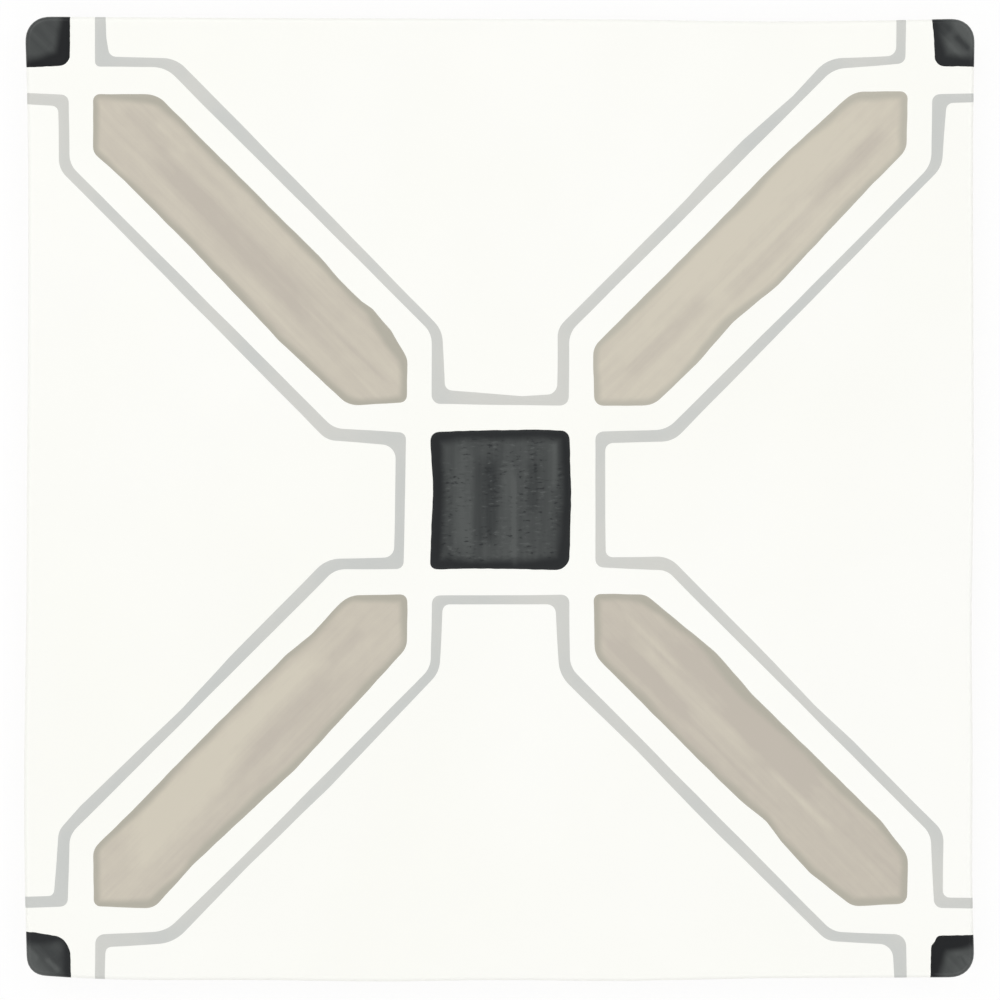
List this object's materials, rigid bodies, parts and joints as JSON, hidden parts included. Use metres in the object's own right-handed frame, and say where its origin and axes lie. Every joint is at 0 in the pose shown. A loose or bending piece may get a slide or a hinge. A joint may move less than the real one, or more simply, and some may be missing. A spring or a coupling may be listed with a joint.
{
  "type": "glazed ceramic wall tile",
  "caption": "Square glazed ceramic tile with a hand-painted geometric trellis, softly rounded corners and edges, and a keyed back.",
  "frame": {"origin": "centre of the back, on the surface the tile lies on", "axes": "+X to the right and +Y to the head of the pattern as seen from above, +Z out of the glazed face"},
  "size_m": [0.197, 0.1999, 0.0085],
  "materials": {
    "ground_glaze": "satin",
    "black_glaze": "satin",
    "taupe_glaze": "satin",
    "grey_glaze": "satin",
    "biscuit": "matte"
  },
  "bodies": {
    "root": {"tile": "ground_glaze"}
  },
  "joints": []
}
